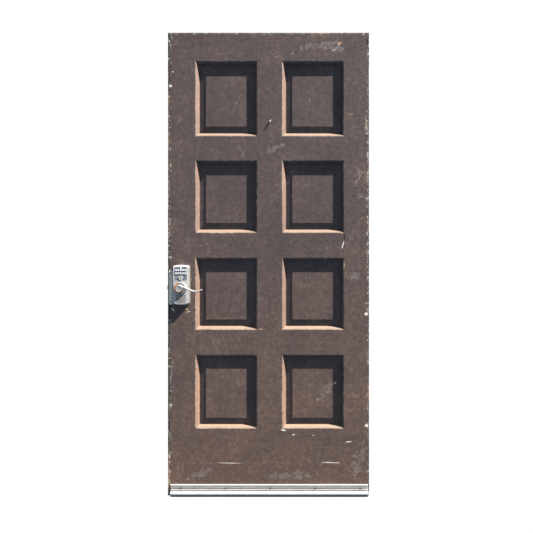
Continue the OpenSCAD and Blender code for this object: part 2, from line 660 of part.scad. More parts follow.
/* Lock: inside */
module inside_housing() color("#aeb0b0") inside() difference() {
    plate_form(inside_t);
    // The upper part is cut down to its base, where the battery cover slides
    translate([-plate_w, split_y, base_t]) cube([2 * plate_w, 200, inside_t]);
    difference() {
        translate([0, 0, base_t]) arched_plate(plate_w - 2 * (plate_wall + plate_taper),
            plate_up - plate_wall - plate_taper, plate_down - plate_wall - plate_taper,
            inside_t - 3 - base_t);
        translate([-plate_w, split_y - 3, 0]) cube([2 * plate_w, 100, inside_t]);
        for (s = [-1, 1])
            translate([0, s * bolt_at, 0]) cylinder(h = inside_t, r = 6.5);
    }
    translate([0, 0, -eps]) cylinder(h = 2 * inside_t, r = spindle_d / 2 + run_clear);
    // Deep recesses let the bolt heads sit on the base
    for (s = [-1, 1]) {
        translate([0, s * bolt_at, -eps]) cylinder(h = 2 * inside_t, r = through_bolt_r + run_clear);
        translate([0, s * bolt_at, base_t]) cylinder(h = 2 * inside_t, r = bolt_head_r + run_clear);
    }
    translate([0, cylinder_y, base_t]) cylinder(h = 2 * inside_t, r = turn_stem_r + run_clear);
}
module battery_cover() color("#a6a8a8") inside() difference() {
    intersection() {
        plate_form(inside_t);
        translate([-plate_w, split_y + run_clear, base_t + run_clear]) cube([2 * plate_w, 200, inside_t]);
    }
    // Room for the battery, open downwards and towards the base
    translate([-battery_w / 2 - 1, split_y - eps, 0]) cube([battery_w + 2, battery_h + 2.5 + eps,
        base_t + battery_t + 0.8]);
}
module battery() color("#3a3f46") inside() translate([-battery_w / 2, split_y + 1, base_t])
    cube([battery_w, battery_h, battery_t]);
module thumb_turn() color("#c9cbca") inside() translate([0, cylinder_y, 0]) {
    translate([0, 0, base_t + run_clear]) cylinder(h = inside_t - base_t, r = turn_stem_r);
    translate([0, 0, inside_t + run_clear]) cylinder(h = 3, r = 10);
    translate([-2.5, -9, inside_t + run_clear + 2]) cube([5, 18, 12]);
}
module through_bolts() color("#6d6f6f") inside() for (s = [-1, 1])
    translate([0, s * bolt_at, 0]) {
        translate([0, 0, -door_t - 10]) cylinder(h = door_t + 10 + base_t + 1, r = through_bolt_r);
        translate([0, 0, base_t]) cylinder(h = bolt_head_h, r = bolt_head_r);
    }

lock_stile();
hinge_stile();
top_rail();
upper_rail();
middle_rail();
lower_rail();
bottom_rail();
for (r = [0:3]) {
    muntin(r);
    panel(r, -1);
    panel(r, 1);
}
joint_dowels();
sweep_carrier();
sweep_fin();
sweep_screws();
edge_strip();
edge_strip_screws();
outside_housing();
keypad_panel();
lower_panel();
for (i = [0:9])
    key(i);
call_button();
circuit_board();
cylinder_body();
cylinder_plug();
outside_rose();
outside_spindle();
outside_lever();
lock_chassis();
latch_tube();
latch_bolt();
deadlatch_plunger();
latch_faceplate();
faceplate_screws();
inside_housing();
battery_cover();
battery();
thumb_turn();
inside_rose();
inside_spindle();
inside_lever();
through_bolts();
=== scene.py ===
"""A worn eight-panel timber front door with a keypad lever lock, an edge strip and a door sweep."""

import math

import bmesh
import bpy
from mathutils import Matrix, Vector


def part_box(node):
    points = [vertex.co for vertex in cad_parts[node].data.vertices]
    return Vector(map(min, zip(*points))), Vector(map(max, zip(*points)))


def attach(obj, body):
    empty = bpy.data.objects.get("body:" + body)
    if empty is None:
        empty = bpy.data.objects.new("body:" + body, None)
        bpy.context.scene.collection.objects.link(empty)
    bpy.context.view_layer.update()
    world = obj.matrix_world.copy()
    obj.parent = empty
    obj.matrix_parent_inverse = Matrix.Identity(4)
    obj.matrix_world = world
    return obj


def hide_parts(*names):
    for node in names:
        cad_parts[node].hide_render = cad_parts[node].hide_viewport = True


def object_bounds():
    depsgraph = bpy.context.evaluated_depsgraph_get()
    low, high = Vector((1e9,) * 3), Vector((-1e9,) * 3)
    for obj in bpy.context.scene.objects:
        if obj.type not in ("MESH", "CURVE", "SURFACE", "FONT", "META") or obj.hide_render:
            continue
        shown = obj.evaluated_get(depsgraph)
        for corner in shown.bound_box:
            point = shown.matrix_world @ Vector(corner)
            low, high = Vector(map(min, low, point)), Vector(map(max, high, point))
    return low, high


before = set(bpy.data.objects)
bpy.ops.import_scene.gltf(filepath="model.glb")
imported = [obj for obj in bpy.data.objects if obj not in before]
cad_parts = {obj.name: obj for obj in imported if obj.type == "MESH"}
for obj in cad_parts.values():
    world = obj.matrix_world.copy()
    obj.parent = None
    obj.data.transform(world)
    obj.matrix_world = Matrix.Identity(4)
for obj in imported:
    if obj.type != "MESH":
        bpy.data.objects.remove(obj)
cad_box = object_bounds()
scene = bpy.context.scene

# ---- Camera -------------------------------------------------------------------------------------
# The camera faces the outside of the door from a little above its middle, towards the hinge side.
# Its picture plane is parallel to the leaf, and the lens is shifted to centre the leaf.
leaf_low, leaf_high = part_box("lock_stile")[0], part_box("hinge_stile")[1]
face_y, back_y = leaf_low[1], leaf_high[1]
camera_away, camera_right, camera_up = 3.1, 0.46, 1.18
picture_w, picture_mid_x, picture_mid_z = 2.422, -0.009, 1.0405
camera = bpy.data.objects.new("camera", bpy.data.cameras.new("camera"))
scene.collection.objects.link(camera)
camera.location = (camera_right, face_y - camera_away, camera_up)
camera.rotation_euler = (math.radians(90), 0, 0)
camera.data.sensor_width = 36
camera.data.lens = 36 * camera_away / picture_w
camera.data.shift_x = (picture_mid_x - camera_right) / picture_w
camera.data.shift_y = (picture_mid_z - camera_up) / picture_w
scene.camera = camera


# ---- Studio: floor, backdrop and lights ---------------------------------------------------------
# A white paper floor that bends up into a backdrop, which neither the lamps nor the door's own
# light reach, a strong lamp that grazes the outside face from high on the hinge side, pale blue
# light from all round, and soft lamps for the inside face and the lock edge.
class Value:
    """A node's output that takes part in Python sums, adding a Math node for each."""

    def __init__(self, graph, socket):
        self.graph, self.socket = graph, socket

    def math(self, operation, *terms, clamp=False):
        return self.graph.add("ShaderNodeMath", {"operation": operation, "use_clamp": clamp}, (self, *terms))

    def __add__(self, other):
        return self.math("ADD", other)

    __radd__ = __add__

    def __mul__(self, other):
        return self.math("MULTIPLY", other)

    __rmul__ = __mul__

    def __sub__(self, other):
        return self.math("SUBTRACT", other)

    def __rsub__(self, other):
        return (self * -1) + other

    def __truediv__(self, other):
        return self.math("DIVIDE", other)

    def __pow__(self, other):
        return self.math("POWER", other)

    def __lt__(self, other):
        return self.math("LESS_THAN", other)

    def __gt__(self, other):
        return self.math("GREATER_THAN", other)

    def __abs__(self):
        return self.math("ABSOLUTE")

    def low(self, other):
        return self.math("MINIMUM", other)

    def high(self, other):
        return self.math("MAXIMUM", other)

    def cut(self):
        """The same, held between 0 and 1."""
        return self.math("ADD", 0.0, clamp=True)


class Graph:
    """A node tree that is built by calls."""

    def __init__(self, tree):
        self.tree = tree

    def add(self, kind, settings=None, inputs=(), out=0):
        node = self.tree.nodes.new(kind)
        for name, setting in (settings or {}).items():
            if name == "stops":
                ramp = node.color_ramp
                while len(ramp.elements) < len(setting):
                    ramp.elements.new(0.5)
                for stop, (place, colour) in zip(ramp.elements, setting):
                    stop.position, stop.color = place, (*colour, 1)
            else:
                setattr(node, name, setting)
        pairs = inputs.items() if isinstance(inputs, dict) else enumerate(inputs)
        for name, term in pairs:
            if isinstance(term, Value):
                self.tree.links.new(term.socket, node.inputs[name])
            elif term is not None:
                node.inputs[name].default_value = term
        return Value(self, node.outputs[out]) if node.outputs else None

    def blend(self, first, second, amount):
        """Colour between first and second; plain colours are (r, g, b)."""
        first, second = (c if isinstance(c, Value) else (*c, 1) for c in (first, second))
        return self.add("ShaderNodeMix", {"data_type": "RGBA"}, {0: amount, 6: first, 7: second}, out=2)

    def noise(self, place, scale, detail=3.0, rough=0.55):
        return self.add("ShaderNodeTexNoise", {}, {"Vector": place, "Scale": scale, "Detail": detail,
                        "Roughness": rough})

    def stretch(self, place, size, at=(0, 0, 0), turn=(0, 0, 0)):
        """Coordinates in which size is 1, measured from at and turned."""
        return self.add("ShaderNodeMapping", {"vector_type": "TEXTURE"}, (place, at, turn, size))


class Finish(Graph):
    """A material on a Principled shader. place is Object coordinates, in metres."""

    def __init__(self, name):
        self.material = bpy.data.materials.new(name)
        self.material.use_nodes = True
        super().__init__(self.material.node_tree)
        self.tree.nodes.clear()
        self.place = self.add("ShaderNodeTexCoord", out="Object")
        self.x, self.y, self.z = self.split(self.place)
        self.facing = self.split(self.add("ShaderNodeTexCoord", out="Normal"))

    def split(self, vector):
        node = self.add("ShaderNodeSeparateXYZ", {}, (vector,)).socket.node
        return [Value(self, socket) for socket in node.outputs]

    def done(self, colour, rough, metal=0.0, height=None, depth=0.001, **more):
        sockets = {"Base Color": colour, "Roughness": rough, "Metallic": metal, **more}
        if height is not None:
            bumps = {"Strength": 1.0, "Distance": depth, "Height": height}
            sockets["Normal"] = self.add("ShaderNodeBump", {}, bumps)
        shader = self.add("ShaderNodeBsdfPrincipled", {}, sockets)
        self.add("ShaderNodeOutputMaterial", {}, {"Surface": shader})
        return self.material


def stage_finish():
    paper = Finish("white_paper")
    grey = paper.noise(paper.place, 2.0, 2.0) * 0.01 + 0.795
    shade = paper.add("ShaderNodeCombineColor", {}, (grey, grey, grey))
    return paper.done(shade, 0.9, **{"Emission Color": (1, 0.95, 0.885, 1), "Emission Strength": 0.86})


def sweep_of_paper():
    """The floor and backdrop as one sheet, bent with a wide radius."""
    half, depth, rise, radius, steps = 14.0, 9.0, 12.0, 2.0, 12
    floor_z = cad_box[0][2] - 0.0004  # just clear of the rubber
    profile = [(-depth, 0.0), (depth - radius, 0.0)]
    for i in range(1, steps + 1):
        turn = math.pi / 2 * i / steps
        profile.append((depth - radius + radius * math.sin(turn), radius - radius * math.cos(turn)))
    profile.append((depth, rise))
    mesh = bpy.data.meshes.new("studio_floor")
    points = [(side * half, y, z + floor_z) for y, z in profile for side in (-1, 1)]
    faces = [(2 * i, 2 * i + 1, 2 * i + 3, 2 * i + 2) for i in range(len(profile) - 1)]
    mesh.from_pydata(points, [], faces)
    mesh.polygons.foreach_set("use_smooth", [True] * len(faces))
    floor = bpy.data.objects.new("studio_floor", mesh)
    scene.collection.objects.link(floor)
    mesh.materials.append(stage_finish())
    return floor


floor = sweep_of_paper()
floor.visible_diffuse = floor.visible_glossy = False

world = scene.world or bpy.data.worlds.new("studio")
scene.world = world
world.use_nodes = True
sky = Graph(world.node_tree)
world.node_tree.nodes.clear()
sky_blue = sky.add("ShaderNodeBackground", {}, {"Color": (0.57, 0.74, 1.0, 1), "Strength": 0.39})
paper_white = sky.add("ShaderNodeBackground", {}, {"Color": (1, 1, 1, 1), "Strength": 1.0})
seen = sky.add("ShaderNodeLightPath", out="Is Camera Ray")
around = sky.add("ShaderNodeMixShader", {}, (seen, sky_blue, paper_white))
sky.add("ShaderNodeOutputWorld", {}, {"Surface": around})

not_on_floor = bpy.data.collections.new("lamps_miss_the_floor")
not_on_floor.objects.link(floor)
not_on_floor.collection_objects[0].light_linking.link_state = "EXCLUDE"


def lamp(name, kind, towards, energy, colour, size, away=4.0):
    """A lamp that shines on the middle of the leaf from the direction towards."""
    light = bpy.data.objects.new(name, bpy.data.lights.new(name, kind))
    scene.collection.objects.link(light)
    aim = Vector(towards).normalized()
    light.location = Vector((0, 0, (leaf_low[2] + leaf_high[2]) / 2)) + aim * away
    light.rotation_euler = aim.to_track_quat("Z", "Y").to_euler()
    light.data.energy, light.data.color = energy, colour
    if kind == "SUN":
        light.data.angle = size
    else:
        light.data.size = size
    light.light_linking.receiver_collection = not_on_floor
    return light


lamp("key_lamp", "SUN", (4.0, -1.0, 5.25), 19.8, (1.0, 0.93, 0.85), math.radians(0.9))
lamp("back_lamp", "AREA", (-1.2, 3.0, 1.6), 220, (1.0, 0.97, 0.93), 2.4)
lamp("edge_lamp", "AREA", (-3.2, 1.1, 0.4), 120, (0.95, 0.97, 1.0), 2.0)
scene.view_settings.view_transform = "Standard"

# ---- Leaf: stiles, rails and muntins ------------------------------------------------------------
# The frame members are planed softwood, moulded and grooved on their inner edges, coped over each
# other and dowelled. They are painted dark brown; the arrises are eased and worn through.
def settle(piece, smooth=8):
    """Turns a piece's modifiers into plain mesh and shades it smooth up to an angle."""
    shape = piece.evaluated_get(bpy.context.evaluated_depsgraph_get())
    mesh = bpy.data.meshes.new_from_object(shape)
    piece.modifiers.clear()
    piece.data = mesh
    mesh.polygons.foreach_set("use_smooth", [True] * len(mesh.polygons))
    mesh.set_sharp_from_angle(angle=math.radians(smooth))


def eased_copy(node, body, finish, width, smooth=8, segments=2):
    """The CAD node's own shape with its sharp edges taken off by width."""
    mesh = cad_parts[node].data.copy()
    work = bmesh.new()
    work.from_mesh(mesh)
    bmesh.ops.remove_doubles(work, verts=work.verts, dist=1e-5)
    bmesh.ops.dissolve_limit(work, angle_limit=math.radians(0.5), verts=work.verts, edges=work.edges)
    work.to_mesh(mesh)
    work.free()
    mesh.materials.clear()
    mesh.materials.append(finish)
    piece = bpy.data.objects.new(f"{node}_finished", mesh)
    scene.collection.objects.link(piece)
    ease = piece.modifiers.new("eased_edges", "BEVEL")
    ease.width, ease.segments, ease.limit_method = width, segments, "ANGLE"
    ease.angle_limit = math.radians(25)
    settle(piece, smooth)
    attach(piece, body)
    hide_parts(node)
    return piece


# Marks on the outside face: x, z, half length, half width, tilt from level in degrees, kind
marks = [
    (-0.444, 1.861, 0.008, 0.006, 0, "white"), (-0.450, 2.065, 0.006, 0.004, 0, "white"),
    (-0.434, 1.926, 0.005, 0.004, 0, "white"), (-0.449, 1.43, 0.06, 0.004, 88, "chalk"),
    (-0.449, 1.22, 0.08, 0.005, 89, "chalk"), (-0.440, 0.56, 0.07, 0.006, 85, "scuff"),
    (-0.455, 0.03, 0.022, 0.006, 86, "bare"), (-0.30, 0.10, 0.06, 0.020, 20, "scuff"),
    (0.24, 2.045, 0.12, 0.016, 6, "scuff"), (0.30, 2.030, 0.05, 0.018, -8, "scuff"),
    (0.325, 2.057, 0.013, 0.007, 40, "bare"), (0.298, 2.026, 0.014, 0.002, 25, "white"),
    (0.11, 2.012, 0.012, 0.005, 50, "scuff"), (0.447, 2.06, 0.04, 0.006, 85, "gouge"),
    (0.378, 1.733, 0.011, 0.002, 2, "bare"), (0.446, 1.700, 0.052, 0.006, 88, "chalk"),
    (0.412, 1.452, 0.040, 0.012, 70, "scuff"), (0.409, 1.360, 0.022, 0.016, 40, "scuff"),
    (0.398, 1.000, 0.026, 0.018, 30, "scuff"), (0.446, 0.826, 0.009, 0.008, 0, "white"),
    (0.446, 0.318, 0.009, 0.007, 0, "white"), (0.437, 0.499, 0.020, 0.006, 60, "scuff"),
    (0.366, 0.245, 0.016, 0.003, 5, "white"), (0.410, 0.160, 0.080, 0.026, 75, "scuff"),
    (-0.009, 1.676, 0.036, 0.0050, 58, "gouge"), (0.008, 1.703, 0.007, 0.004, 58, "white"),
    (-0.151, 1.775, 0.050, 0.0016, 64, "scuff"), (0.02, 1.575, 0.05, 0.016, 25, "scuff"),
    (-0.12, 1.560, 0.030, 0.012, -60, "scuff"), (0.343, 1.163, 0.030, 0.0036, 88, "gouge"),
    (0.339, 1.140, 0.020, 0.003, 75, "white"), (0.345, 1.046, 0.016, 0.003, 85, "bare"),
    (-0.034, 0.757, 0.013, 0.003, 0, "bare"), (-0.230, 0.895, 0.115, 0.0008, 89, "gouge"),
    (0.258, 0.474, 0.048, 0.020, 50, "scuff"), (0.303, 0.508, 0.006, 0.005, 80, "white"),
    (0.235, 0.440, 0.020, 0.006, 30, "scuff"), (0.068, 0.298, 0.013, 0.006, -8, "white"),
    (0.114, 0.277, 0.006, 0.003, 10, "white"), (0.205, 0.273, 0.005, 0.003, 0, "white"),
    (0.000, 0.149, 0.300, 0.0014, 0.4, "scuff"), (0.285, 0.150, 0.045, 0.002, -2, "white"),
    (-0.18, 0.148, 0.060, 0.0016, -1, "white"), (0.10, 0.090, 0.12, 0.018, 3, "scuff"),
    (-0.394, 0.955, 0.118, 0.052, 90, "rust"), (-0.400, 0.852, 0.040, 0.012, 5, "rust"),
    (-0.434, 0.845, 0.010, 0.003, -50, "white"), (-0.369, 0.848, 0.007, 0.006, 30, "bare"),
    (-0.362, 0.836, 0.012, 0.002, 15, "white"), (-0.447, 0.870, 0.030, 0.006, 80, "gouge"),
]
# What each kind looks like: colour, strength, how ragged its outline is
mark_looks = {"scuff": ((0.36, 0.33, 0.31), 0.42, 1.5), "chalk": ((0.52, 0.46, 0.37), 0.75, 2.2),
              "white": ((0.72, 0.69, 0.62), 1.0, 0.7), "bare": ((0.46, 0.26, 0.13), 1.0, 0.7),
              "gouge": ((0.012, 0.010, 0.009), 1.0, 0.5), "rust": ((0.155, 0.060, 0.034), 0.55, 1.1)}


def paint(node, along, arrises=(), spans=(), chipped=()):
    """Brown paint brushed along one axis, worn through on arrises within spans, its edges chipped.

    arrises and chipped hold an axis, the edge's place along it and how far in the wear reaches.
    """
    fresh_brown, lower_brown = (0.088, 0.064, 0.060), (0.130, 0.079, 0.054)
    rubbed_grey, pit_dark = (0.34, 0.29, 0.25), (0.030, 0.020, 0.016)
    # The two ledge colours on the next line are partly painted highlight, on faces turned towards the key lamp
    ledge_dust_and_highlight, lamp_side_bleach_and_highlight = (0.225, 0.160, 0.115), (0.25, 0.150, 0.095)
    primer, filler = (0.16, 0.11, 0.085), (0.58, 0.49, 0.38)
    black_wood_and_arris_shade, brown_wood, white_chip = (0.012, 0.010, 0.009), (0.34, 0.20, 0.11), (0.74, 0.70, 0.60)
    coat = Finish(f"brown_paint_{node}")
    outside = coat.y < 0.0
    brush_size = {"x": (0.16, 0.004, 0.0016), "z": (0.0016, 0.004, 0.16)}[along]
    brushed = coat.noise(coat.stretch(coat.place, brush_size), 1.0, 4.0, 0.62)
    cloud = coat.noise(coat.place, 6.0, 5.0, 0.62)
    mottle = coat.noise(coat.place, 60.0, 6.0, 0.70)
    speck = coat.noise(coat.place, 330.0, 3.0, 0.6)
    # The paint turns paler and redder towards the bottom, and in broad random patches
    low_and_patchy = ((1.25 - coat.z) * 0.75).cut() * 0.75 + (cloud - 0.5) * 1.1
    colour = coat.blend(fresh_brown, lower_brown, low_and_patchy.cut())
    tone = brushed * 0.70 + mottle * 1.35 + cloud * 0.60 - 0.315
    colour = coat.add("ShaderNodeVectorMath", {"operation": "SCALE"}, {0: colour, "Scale": tone})
    # Pale rubbed specks, thickest where the paint is oldest, and small dark pits
    rubbed = ((mottle * 0.5 + speck * 0.5 + cloud * 0.22 - 0.69) * 12).cut() * 0.42
    colour = coat.blend(colour, rubbed_grey, rubbed)
    pits = ((0.385 - mottle * 0.5 - speck * 0.5) * 16).cut() * 0.6
    colour = coat.blend(colour, pit_dark, pits)
    # Ledges that face up are paler, partly pale dust and partly painted highlight, and those that face the hinge
    # side, towards the key lamp, are paler and more orange, partly bleaching and partly painted highlight
    up = ((coat.facing[2] - 0.35) * 2.6).cut() * outside
    side = ((coat.facing[0] - 0.35) * 2.6).cut() * outside
    colour = coat.blend(colour, ledge_dust_and_highlight, (up * (0.50 + speck * 0.5)).cut())
    colour = coat.blend(colour, lamp_side_bleach_and_highlight, (side * (0.15 + cloud * 0.5)).cut())
    worn = None
    for axis, value, reach in arrises:
        off = abs(getattr(coat, axis) - value) + abs(abs(coat.y) - back_y)
        here = ((0.0016 + (mottle - 0.5) * reach - off) * 900).cut()
        if spans:
            along_it = getattr(coat, "x" if axis == "z" else "z")
            here = here * sum((along_it > first) * (along_it < last) for first, last in spans)
        worn = here if worn is None else worn.high(here)
    if worn is not None:
        under = coat.blend(primer, filler, ((speck + cloud - 0.92) * 7).cut())
        colour = coat.blend(colour, under, worn * 0.8)
    # Chipped edges show bare wood, mostly near black; the wider band on the lock edge also paints the shade of its
    # rounded, broken arris
    chips = None
    for axis, value, reach in chipped:
        off = abs(getattr(coat, axis) - value) + (back_y - abs(coat.y)).high(0.0)
        here = ((reach * (mottle * 2.6 - 0.85) * (outside * 0.6 + 0.4) - off) * 700).cut()
        chips = here if chips is None else chips.high(here)
    if chips is not None:
        bared = coat.blend(black_wood_and_arris_shade, brown_wood, ((speck + cloud - 1.08) * 12).cut())
        bared = coat.blend(bared, white_chip, ((speck + mottle - 1.12) * 18).cut())
        colour = coat.blend(colour, bared, chips)
    dents = None
    low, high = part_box(node)
    for x, z, half_long, half_wide, tilt, kind in marks:
        beside = x < low[0] - half_wide or x > high[0] + half_wide
        if beside or z < low[2] - half_wide or z > high[2] + half_wide:
            continue
        shade, strength, ragged = mark_looks[kind]
        turned = (0, -math.radians(tilt), 0)
        local = coat.stretch(coat.place, (half_long, 10.0, half_wide), at=(x, 0, z), turn=turned)
        off = coat.add("ShaderNodeVectorMath", {"operation": "LENGTH"}, (local,), out="Value")
        here = ((1.0 - off + (mottle - 0.5) * 2.4 * ragged) * 2.5).cut() * outside
        if kind in ("scuff", "rust", "chalk"):
            here = here * ((speck * 1.3 + mottle * 0.5 - 0.85) * 6).cut()
        colour = coat.blend(colour, shade, here * strength)
        if kind != "scuff":
            dents = here if dents is None else dents.high(here)
    height = brushed * 0.5 + mottle * 0.5 + speck * 0.2
    for layer in (worn, chips, dents):
        if layer is not None:
            height = height - layer
    return coat.done(colour, 0.46 + mottle * 0.25, height=height, depth=0.0007)


# The moulding is stick_w wide; wear reaches arris_wear along it, and chips as far as the others say
stick_w, arris_wear = 0.0137, 0.005
# The lock edge chips reach furthest, partly as painted shade of its broken arris
lock_edge_chips, hinge_edge_chips, top_edge_chips = 0.024, 0.014, 0.010
row_spans = [(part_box(f"muntin_row_{row}")[0][2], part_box(f"muntin_row_{row}")[1][2]) for row in (1, 2, 3, 4)]
column_spans = [(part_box("lock_stile")[1][0] - stick_w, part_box("muntin_row_1")[0][0] + stick_w),
                (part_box("muntin_row_1")[1][0] - stick_w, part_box("hinge_stile")[0][0] + stick_w)]
for node in ["lock_stile", "hinge_stile", "top_rail", "upper_rail", "middle_rail", "lower_rail",
             "bottom_rail"] + [f"muntin_row_{row}" for row in (1, 2, 3, 4)]:
    low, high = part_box(node)
    chipped = [("z", leaf_high[2], top_edge_chips)] if high[2] > leaf_high[2] - 0.001 else []
    spans = ()
    if node.endswith("stile"):
        inner, outer = (high[0] - stick_w, low[0]) if node == "lock_stile" else (low[0] + stick_w, high[0])
        arrises = [("x", inner, arris_wear)]
        chipped.append(("x", outer, lock_edge_chips if node == "lock_stile" else hinge_edge_chips))
        spans = row_spans
    elif node.endswith("rail"):
        arrises = [("z", high[2] - stick_w, arris_wear)] if node != "top_rail" else []
        arrises += [("z", low[2] + stick_w, arris_wear)] if node != "bottom_rail" else []
        spans = column_spans
    else:
        arrises = [("x", low[0] + stick_w, arris_wear), ("x", high[0] - stick_w, arris_wear)]
    finish = paint(node, "x" if node.endswith("rail") else "z", arrises, spans, chipped)
    eased_copy(node, "leaf", finish, 0.0004)

# ---- Panels -------------------------------------------------------------------------------------
# Eight raised panels float in the grooves: a level field, a small step and a sloping border on
# both faces. They are painted like the frame, with their brush marks upright.
for row in (1, 2, 3, 4):
    for side in ("lock", "hinge"):
        node = f"panel_row_{row}_{side}_side"
        eased_copy(node, "leaf", paint(node, "z"), 0.0003, 1)

# ---- Dowels -------------------------------------------------------------------------------------
# Turned birch pins glued across each joint of the frame, hidden inside the members.


def timber(name, pale, dark, along):
    wood = Finish(name)
    size = {"x": (0.06, 0.002, 0.002), "z": (0.002, 0.002, 0.06)}[along]
    grain = wood.noise(wood.stretch(wood.place, size), 1.0, 4.0, 0.6)
    return wood.done(wood.blend(dark, pale, grain), 0.6 + grain * 0.2, height=grain, depth=0.0003)


def dress(node, finish):
    """Gives a CAD node a better material."""
    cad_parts[node].data.materials.clear()
    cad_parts[node].data.materials.append(finish)


dress("joint_dowels", timber("birch", (0.62, 0.44, 0.26), (0.42, 0.27, 0.14), "x"))


# ---- Door sweep ---------------------------------------------------------------------------------
# An extruded aluminium carrier, gone pale and chalky, is screwed along the foot of the outside
# face. Its lower bead grips a strip of black rubber that brushes the sill.
def metal(name, clean, dull, amount=0.5, rough=0.4, shine=0.8, brushed=(0.02, 0.02, 0.02), depth=0.0001,
          stain=(0.20, 0.13, 0.07), stained=0.3, painted_side_shade=0.0):
    """Cast, rolled or plated metal with a dulled skin, fine brushing and brown stains.

    The last argument sets how strongly walls that face the hinge side, towards the key lamp, are darkened: painted
    shade.
    """
    skin = Finish(name)
    lines = skin.noise(skin.stretch(skin.place, brushed), 1.0, 4.0, 0.6)
    patch = skin.noise(skin.place, 70.0, 4.0, 0.6)
    fine = skin.noise(skin.place, 700.0, 3.0, 0.6)
    old = ((patch - 0.5) * 4 + amount).cut()
    colour = skin.blend(clean, dull, old)
    tone = 0.80 + lines * 0.25 + fine * 0.15
    colour = skin.add("ShaderNodeVectorMath", {"operation": "SCALE"}, {0: colour, "Scale": tone})
    spots = ((fine * 0.5 + patch * 0.6 - 0.62) * 12).cut() * stained
    colour = skin.blend(colour, stain, spots)
    # Painted shade: walls that face the hinge side, where the key lamp shines, are darkened
    if painted_side_shade:
        grime_and_painted_shade = (0.085, 0.075, 0.062)
        hinge_side = ((skin.facing[0] - 0.25) * 2.5).cut()
        colour = skin.blend(colour, grime_and_painted_shade, hinge_side * (painted_side_shade + patch * 0.2).cut())
    metallic = (shine - old * 0.35 - spots).cut()
    height = lines + fine * 0.4 - spots
    return skin.done(colour, rough + old * 0.2 + lines * 0.1, metallic, height, depth)


carrier_low, carrier_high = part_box("sweep_carrier")
chalky = metal("chalky_aluminium", (0.55, 0.54, 0.52), (0.61, 0.58, 0.53), 0.6, 0.5, 0.35,
               (0.30, 0.003, 0.0012), 0.0003, (0.26, 0.20, 0.14), 0.55)
eased_copy("sweep_carrier", "leaf", chalky, 0.0004)


def grown(name, build, sizes, finish):
    """A plain mesh grown by a node tree whose named inputs are sizes."""
    tree = bpy.data.node_groups.new(name, "GeometryNodeTree")
    kinds = {float: "NodeSocketFloat", int: "NodeSocketInt", tuple: "NodeSocketVector"}
    sockets = {}
    for label, size in sizes.items():
        kind = kinds.get(type(size), "NodeSocketObject")
        sockets[label] = tree.interface.new_socket(label, in_out="INPUT", socket_type=kind).identifier
    tree.interface.new_socket("Geometry", in_out="OUTPUT", socket_type="NodeSocketGeometry")
    graph = Graph(tree)
    entry = tree.nodes.new("NodeGroupInput")
    shape = build(graph, {label: Value(graph, entry.outputs[label]) for label in sizes})
    whole = graph.add("GeometryNodeRealizeInstances", {}, {"Geometry": shape})
    dressed = graph.add("GeometryNodeSetMaterial", {}, {"Geometry": whole, "Material": finish})
    graph.add("NodeGroupOutput", {}, {"Geometry": dressed})
    piece = bpy.data.objects.new(name, bpy.data.meshes.new(name))
    scene.collection.objects.link(piece)
    growth = piece.modifiers.new("growth", "NODES")
    growth.node_group = tree
    for label, size in sizes.items():
        growth[sockets[label]] = size
    settle(piece)
    return piece


def ribs(graph, size):
    """Half-round ribs along X, one above another."""
    line = graph.add("GeometryNodeCurvePrimitiveLine", {}, {"Start": size["Start"], "End": size["End"]})
    ring = graph.add("GeometryNodeCurvePrimitiveCircle", {}, {"Resolution": 12, "Radius": size["Radius"]})
    rib = graph.add("GeometryNodeCurveToMesh", {}, {"Curve": line, "Profile Curve": ring, "Fill Caps": True})
    rows = graph.add("GeometryNodeMeshLine", {}, {"Count": size["Count"], "Offset": size["Step"]})
    return graph.add("GeometryNodeInstanceOnPoints", {}, {"Points": rows, "Instance": rib})


band_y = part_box("sweep_screws")[0][1] + 0.0001
rib_r, rib_z, rib_step, end_gap = 0.0006, 0.0287, 0.0106, 0.001
rib_piece = grown("sweep_ribs", ribs, {
    "Start": (carrier_low[0] + end_gap, band_y, rib_z), "End": (carrier_high[0] - end_gap, band_y, rib_z),
    "Radius": rib_r, "Count": 2, "Step": (0.0, 0.0, rib_step)}, chalky)
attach(rib_piece, "leaf")

rubber = Finish("aged_rubber")
bloom = rubber.noise(rubber.place, 40.0, 5.0, 0.65)
rubber_black = rubber.done(rubber.blend((0.012, 0.012, 0.013), (0.06, 0.056, 0.050), bloom), 0.75,
                           height=bloom, depth=0.0004)
eased_copy("sweep_fin", "leaf", rubber_black, 0.0003)


# ---- Screws -------------------------------------------------------------------------------------
# Countersunk wood screws with cross recesses: five hold the sweep, two the edge strip and two the
# latch faceplate. The first are dark with rust.
def cross_screw(radius, length):
    """One screw along +Y, its head's face at y = 0, with a cross-shaped recess."""
    work = bmesh.new()
    turns, rings = 32, []
    # Both in radii: how far from the axis, and how deep. The recess is cut only along its cross.
    neck, shank = 0.95, 0.95 + length / radius
    recess = ((0.0, 0.55), (0.14, 0.5), (0.2, 0.34), (0.34, 0.2), (0.52, 0.02), (1.0, 0.0))
    body = ((0.97, 0.12), (0.45, neck), (0.42, shank), (0.0, shank + 0.4))
    for share, depth in recess + body:
        ring = []
        for i in range(turns):
            turn = 2 * math.pi * i / turns
            uncut = (share, depth) in recess and share > 0.14 and abs(math.sin(2 * turn)) >= 0.45
            r, y = share * radius, 0.0 if uncut else depth * radius
            ring.append(work.verts.new((r * math.cos(turn), y, r * math.sin(turn))))
        rings.append(ring)
    for inner, outer in zip(rings, rings[1:]):
        for i in range(turns):
            work.faces.new((inner[i], inner[(i + 1) % turns], outer[(i + 1) % turns], outer[i]))
    bmesh.ops.remove_doubles(work, verts=work.verts, dist=1e-6)
    bmesh.ops.recalc_face_normals(work, faces=work.faces)
    mesh = bpy.data.meshes.new("cross_screw")
    work.to_mesh(mesh)
    work.free()
    pattern = bpy.data.objects.new("cross_screw", mesh)
    scene.collection.objects.link(pattern)
    return pattern


